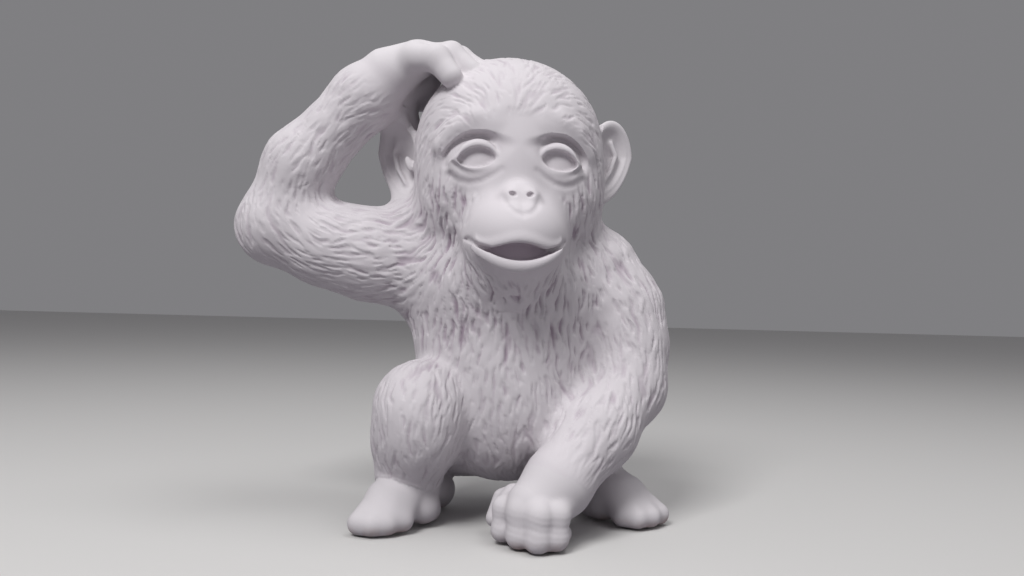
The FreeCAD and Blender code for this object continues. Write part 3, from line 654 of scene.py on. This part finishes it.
def grit(points, cell):
    """Soft random grit with grains of one size."""
    at = points / cell
    base = np.floor(at).astype(np.int64)
    share = (at - base).astype(np.float32)
    share = share * share * (3 - 2 * share)
    i, j, k = (base[:, 0] % GRITS, base[:, 1] % GRITS, base[:, 2] % GRITS)
    i2, j2, k2 = (i + 1) % GRITS, (j + 1) % GRITS, (k + 1) % GRITS
    u, v, w = share[:, 0], share[:, 1], share[:, 2]
    return (((speckle[i, j, k] * (1 - w) + speckle[i, j, k2] * w) * (1 - v)
             + (speckle[i, j2, k] * (1 - w) + speckle[i, j2, k2] * w) * v) * (1 - u)
            + ((speckle[i2, j, k] * (1 - w) + speckle[i2, j, k2] * w) * (1 - v)
               + (speckle[i2, j2, k] * (1 - w) + speckle[i2, j2, k2] * w) * v) * u)


PACE = 0.8                               # how far the comb goes at a step, in mm


def combed(stroke_length, grains, seed):
    """Grit drawn out along the lie of the hair, one result for each grain size."""
    steps = max(2, round(stroke_length / PACE))
    totals = [grit(vertices + seed, grain) for grain in grains]
    for sign in (-1, 1):
        at = vertices.copy()
        for step in range(steps):
            way = sampled(lay, at, CLAY_LOW, LAY)
            out = sampled(steepest, at, CLAY_LOW, GRAIN * coarse)
            way = way - (way * out).sum(1, keepdims=True) * out
            way /= np.maximum(np.sqrt((way ** 2).sum(1, keepdims=True)), 0.15)
            at = at + sign * PACE * way
            weight = 1 - ((step + 1) / (steps + 1)) ** 2
            for index, grain in enumerate(grains):
                totals[index] += weight * grit(at + seed, grain)
    return [total / total.std() for total in totals]


LOCK_SEED, STROKE_SEED = 11.0, 37.0
locks, = combed(3.0, (1.7,), LOCK_SEED)
strokes, fine = combed(2.2, (1.0, 0.75), STROKE_SEED)
strokes = 0.75 * strokes + 0.65 * fine

# Which piece each bit of skin belongs to, and how furred it is.
names = list(forms)
owner_distance = np.full(len(vertices), 1e9)
owner = np.zeros(len(vertices), np.int64)
for index, name in enumerate(names):
    low, high = lump_reach(forms[name], 6.0)
    near = np.flatnonzero(((vertices > low) & (vertices < high)).all(1))
    distance = lump_field(vertices[near].astype(np.float32), forms[name])
    closer = distance < owner_distance[near]
    owner_distance[near[closer]] = distance[closer]
    owner[near[closer]] = index
owner_of = {name: owner == index for index, name in enumerate(names)}

fur = np.ones(len(vertices))
for piece, (_, slot_name) in casts.items():
    if slot_name == "smooth_bisque":
        fur[owner_of[piece]] = 0.0
local = (vertices - SKULL) @ HEAD_TURN
across, back, up = local[:, 0], local[:, 1], local[:, 2]
bare_face = np.sqrt((across / 25.0) ** 2 + ((up + 9) / 15.5) ** 2)
bare_muzzle = np.sqrt((across / 18.5) ** 2 + ((up + 32) / 17.5) ** 2)
face_bare = fade(np.minimum(bare_face, bare_muzzle), 0.86, 1.14)
fur = np.where(owner_of["head"] & (back < -8), np.minimum(fur, face_bare), fur)
WRIST, KNUCKLES = (-40, -5, 156), (15, -32, 14)
from_wrist = np.linalg.norm(vertices - WRIST, axis=1)
fur = np.where(owner_of["right_forearm"], fur * fade(from_wrist, 10, 20), fur)
from_knuckles = np.linalg.norm(vertices - KNUCKLES, axis=1)
fur = np.where(owner_of["left_forearm"], fur * fade(from_knuckles, 12, 26), fur)

# Deep locks in the beard and chest, shallow short strokes elsewhere, and hardly any on the crown.
RUFF, RUFF_REACH = (3, -16, 92), 32.0
DEEPEST_LOCK = 2.2                       # in spreads of the locks
SKIN_DROP = 0.3                          # how much lower the bare skin lies than the hair
crown = fade(up + 0.15 * back, -8, 4) * owner_of["head"]
ruff = np.exp(-(np.linalg.norm(vertices - RUFF, axis=1) / RUFF_REACH) ** 2)
lock_depth = (0.05 + 0.17 * ruff) * (1 - 0.8 * crown)
stroke_depth = (0.15 + 0.24 * ruff) * (1 - 0.3 * crown)
cut = np.tanh(1.7 * (strokes + 0.55)) - 0.45
tooled = lock_depth * np.clip(locks, -DEEPEST_LOCK, DEEPEST_LOCK) + 1.5 * stroke_depth * cut
relief = fur * tooled + SKIN_DROP * (fur - 1)

# Shallow wrinkles over the front of the fist.
WRINKLE, WRINKLE_GAP, WRINKLE_SLANT, WANDER = 0.03, 1.9, 0.08, 0.6
wrinkled = owner_of["left_hand"] * fade(-vertices[:, 1], 30, 35)
wrinkled = wrinkled * fade(vertices[:, 2], 3, 5) * fade(-vertices[:, 2], -14, -11)
wander = WANDER * grit(vertices, 4.0)
wave = 2 * math.pi * (vertices[:, 2] + WRINKLE_SLANT * vertices[:, 0] + wander) / WRINKLE_GAP
relief += WRINKLE * wrinkled * np.cos(wave)
vertices = vertices + normals * relief[:, None]
vertices[:, 2] = np.maximum(vertices[:, 2], 0.0)

# How deep each bit lies in its tool mark, for the painted shade in the grooves; the inside of the mouth
# gets painted shade too.
# Painted shade inside the parted mouth.
MOUTH_SHADE = 0.85
groove_shade = np.clip(0.40 - fur * (1.2 * lock_depth * locks + (0.09 + 0.26 * ruff) * strokes), 0, 1)
beside_mouth = across - MOUTH_ACROSS
in_mouth = (back > -44) & (back < -34) & (np.abs(beside_mouth) < 13) & owner_of["head"]
in_mouth &= (up < mouth_top(beside_mouth)) & (up > mouth_bottom(beside_mouth) - 0.3)
groove_shade[in_mouth] = MOUTH_SHADE

# The cast figure. The skin is parted into its pieces along the luted joints, each open
# towards its neighbours as the hollow cast is. The fired bisque is chalky white with a
# grey-lavender cast and a fine grain, with painted shade where a tool went in and inside the mouth.

MM = 0.001
STANCE = np.array([14.9, 4.6, 0.0])      # the figure's own middle, in the part's frame

faces = np.concatenate([quads[:, [0, 1, 2]], quads[:, [0, 2, 3]]])
smooth = np.zeros_like(vertices)
face_way = np.cross(vertices[faces[:, 1]] - vertices[faces[:, 0]],
                    vertices[faces[:, 2]] - vertices[faces[:, 0]])
for corner_index in range(3):
    for axis in range(3):
        smooth[:, axis] += np.bincount(faces[:, corner_index], face_way[:, axis], len(vertices))
smooth /= np.maximum(np.linalg.norm(smooth, axis=1, keepdims=True), 1e-12)


MOTTLE, MOTTLE_SIZE = 0.12, 45.0
GRAIN_SIZE, RUB_SIZE = 2200.0, 160.0
RUB_TOP, RUB_FOOT = 4.5, 0.3             # the rub starts this high, and is full this low, in mm


def fired_clay():
    """Fired slip close to: mottled, with painted shade where a tool went in, rubbed red-brown along the
    foot.
    """
    group = bpy.data.node_groups.new("fired_clay", "ShaderNodeTree")
    for socket in ("Clay", "Groove Shade", "Kiln"):
        group.interface.new_socket(socket, in_out="INPUT", socket_type="NodeSocketColor")
    group.interface.new_socket("Colour", in_out="OUTPUT", socket_type="NodeSocketColor")
    group.interface.new_socket("Grain", in_out="OUTPUT", socket_type="NodeSocketFloat")
    nodes, links = group.nodes, group.links
    taken, given = nodes.new("NodeGroupInput"), nodes.new("NodeGroupOutput")
    place = nodes.new("ShaderNodeTexCoord")

    def mixed(share, one, other, blend="MIX"):
        """Two colours mixed by a share."""
        mix = nodes.new("ShaderNodeMix")
        mix.data_type, mix.blend_type = "RGBA", blend
        for value, socket_name in ((share, "Factor"), (one, "A"), (other, "B")):
            socket = mix.inputs[socket_name]
            if isinstance(value, float):
                socket.default_value = value
            else:
                links.new(value, socket)
        return mix.outputs["Result"]

    def spots(scale, detail):
        """Noise of one size."""
        noise = nodes.new("ShaderNodeTexNoise")
        noise.inputs["Scale"].default_value = scale
        noise.inputs["Detail"].default_value = detail
        links.new(place.outputs["Object"], noise.inputs["Vector"])
        return noise.outputs["Fac"]

    def ramp(value, start, end):
        """A value spread from 0 at the start to 1 at the end."""
        span = nodes.new("ShaderNodeMapRange")
        span.inputs["From Min"].default_value = start
        span.inputs["From Max"].default_value = end
        links.new(value, span.inputs["Value"])
        return span.outputs["Result"]

    # Painted shade: the clay is mixed towards the groove colour where the skin lies deep in a tool mark.
    depth = nodes.new("ShaderNodeAttribute")
    depth.attribute_name = "groove_shade"
    groove_shaded = mixed(ramp(depth.outputs["Fac"], 0.45, 1.0), taken.outputs["Clay"], taken.outputs["Groove Shade"])
    height = nodes.new("ShaderNodeSeparateXYZ")
    links.new(place.outputs["Object"], height.inputs["Vector"])
    rub = nodes.new("ShaderNodeMath")
    rub.operation = "MULTIPLY"
    links.new(ramp(height.outputs["Z"], RUB_TOP * MM, RUB_FOOT * MM), rub.inputs[0])
    links.new(ramp(spots(RUB_SIZE, 4.0), 0.38, 0.75), rub.inputs[1])
    rubbed = mixed(rub.outputs["Value"], groove_shaded, taken.outputs["Kiln"])
    links.new(mixed(MOTTLE, rubbed, spots(MOTTLE_SIZE, 5.0), "MULTIPLY"), given.inputs["Colour"])
    links.new(spots(GRAIN_SIZE, 3.0), given.inputs["Grain"])
    return group


clay_look = fired_clay()
# The painted shade of the grooves and the mouth, and the red-brown rub from the kiln shelf.
GROOVE_SHADE, KILN_RUB = (0.42, 0.345, 0.41, 1), (0.47, 0.31, 0.26, 1)


def bisque(name, colour, grain_height):
    """Unglazed fired slip, as rough as the sponge or the comb left it."""
    material = bpy.data.materials.new(name)
    material.use_nodes = True
    nodes, links = material.node_tree.nodes, material.node_tree.links
    shader = nodes["Principled BSDF"]
    shader.inputs["Roughness"].default_value = 0.86
    shader.inputs["Specular IOR Level"].default_value = 0.28
    look = nodes.new("ShaderNodeGroup")
    look.node_tree = clay_look
    look.inputs["Clay"].default_value = (*colour, 1)
    look.inputs["Groove Shade"].default_value = GROOVE_SHADE
    look.inputs["Kiln"].default_value = KILN_RUB
    links.new(look.outputs["Colour"], shader.inputs["Base Color"])
    bump = nodes.new("ShaderNodeBump")
    bump.inputs["Strength"].default_value = 0.5
    bump.inputs["Distance"].default_value = grain_height * MM
    links.new(look.outputs["Grain"], bump.inputs["Height"])
    links.new(bump.outputs["Normal"], shader.inputs["Normal"])
    return material


finishes = {"carved_bisque": bisque("carved_bisque", (0.70, 0.66, 0.69), 0.06),
            "smooth_bisque": bisque("smooth_bisque", (0.71, 0.675, 0.70), 0.03)}

face_owner = np.sort(owner[quads], axis=1)[:, 1]
for index, name in enumerate(names):
    mine = quads[face_owner == index]
    used, remapped = np.unique(mine, return_inverse=True)
    remapped = remapped.reshape(mine.shape)
    made, slot_name = casts[name]
    mesh = made.data
    mesh.from_pydata(((vertices[used] + STANCE) * MM).tolist(), [], remapped.tolist())
    mesh.update()
    mesh.polygons.foreach_set("use_smooth", np.ones(len(mesh.polygons), bool))
    # The painted groove shade, carried on each piece's points.
    tint = mesh.attributes.new("groove_shade", "FLOAT", "POINT")
    tint.data.foreach_set("value", groove_shade[used].astype(np.float32))
    mesh.normals_split_custom_set_from_vertices(smooth[used].tolist())
    mesh.materials.append(finishes[slot_name])

# Table, light and camera. A plain pale floor, three soft lamps and an even sky,
# seen from a little below the figure's middle as in the photograph.

floor_mesh = bpy.data.meshes.new("floor")
REACH = 3                                # half the floor's side, in metres
floor_mesh.from_pydata([(-REACH, -REACH, 0), (REACH, -REACH, 0), (REACH, REACH, 0), (-REACH, REACH, 0)],
                       [], [(0, 1, 2, 3)])
floor = bpy.data.objects.new("floor", floor_mesh)
bpy.context.scene.collection.objects.link(floor)
paper = bpy.data.materials.new("pale_paper")
paper.use_nodes = True
paper_shader = paper.node_tree.nodes["Principled BSDF"]
paper_shader.inputs["Roughness"].default_value = 0.9
path = paper.node_tree.nodes.new("ShaderNodeLightPath")
seen = paper.node_tree.nodes.new("ShaderNodeMix")
seen.data_type = "RGBA"
seen.inputs["A"].default_value = (0.26, 0.25, 0.27, 1)   # what lights the figure from below
seen.inputs["B"].default_value = (0.66, 0.65, 0.64, 1)   # what the camera sees
either = paper.node_tree.nodes.new("ShaderNodeMath")
either.operation = "MAXIMUM"
paper.node_tree.links.new(path.outputs["Is Camera Ray"], either.inputs[0])
paper.node_tree.links.new(path.outputs["Is Glossy Ray"], either.inputs[1])
paper.node_tree.links.new(either.outputs[0], seen.inputs["Factor"])
paper.node_tree.links.new(seen.outputs["Result"], paper_shader.inputs["Base Color"])
floor_mesh.materials.append(paper)
floor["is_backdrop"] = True

world = bpy.data.worlds.new("studio")
bpy.context.scene.world = world
world.use_nodes = True
world.node_tree.nodes["Background"].inputs["Color"].default_value = (0.93, 0.92, 0.96, 1)
world.node_tree.nodes["Background"].inputs["Strength"].default_value = 0.23

middle = Vector((0.0, 0.0, 0.083))
# Each lamp: its name, its place in metres, its watts and its breadth in metres.
LAMPS = (("key", (-0.28, -0.62, 0.78), 6.6, 0.35),
         ("fill", (0.7, -0.6, 0.35), 0.5, 0.7),
         ("top", (0.25, -0.15, 0.95), 2.6, 0.5))
for lamp_name, position, power, breadth in LAMPS:
    data = bpy.data.lights.new(lamp_name, "AREA")
    data.energy = power
    data.size = breadth
    lamp = bpy.data.objects.new(lamp_name, data)
    bpy.context.scene.collection.objects.link(lamp)
    lamp.location = position
    lamp.rotation_euler = (middle - lamp.location).to_track_quat("-Z", "Y").to_euler()

view = bpy.data.cameras.new("camera")
view.lens = 30.94
view.sensor_width = 36.0
view.clip_start = 0.01
camera = bpy.data.objects.new("camera", view)
bpy.context.scene.collection.objects.link(camera)
camera.location = (0.0191, -0.3054, 0.0760)
CAMERA_TILT, CAMERA_ROLL = 91.0, 1.5
camera.rotation_euler = (math.radians(CAMERA_TILT), 0.0, 0.0)
camera.rotation_euler.rotate_axis("Z", math.radians(CAMERA_ROLL))
bpy.context.scene.camera = camera
bpy.context.scene.view_settings.view_transform = "Standard"

low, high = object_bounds()
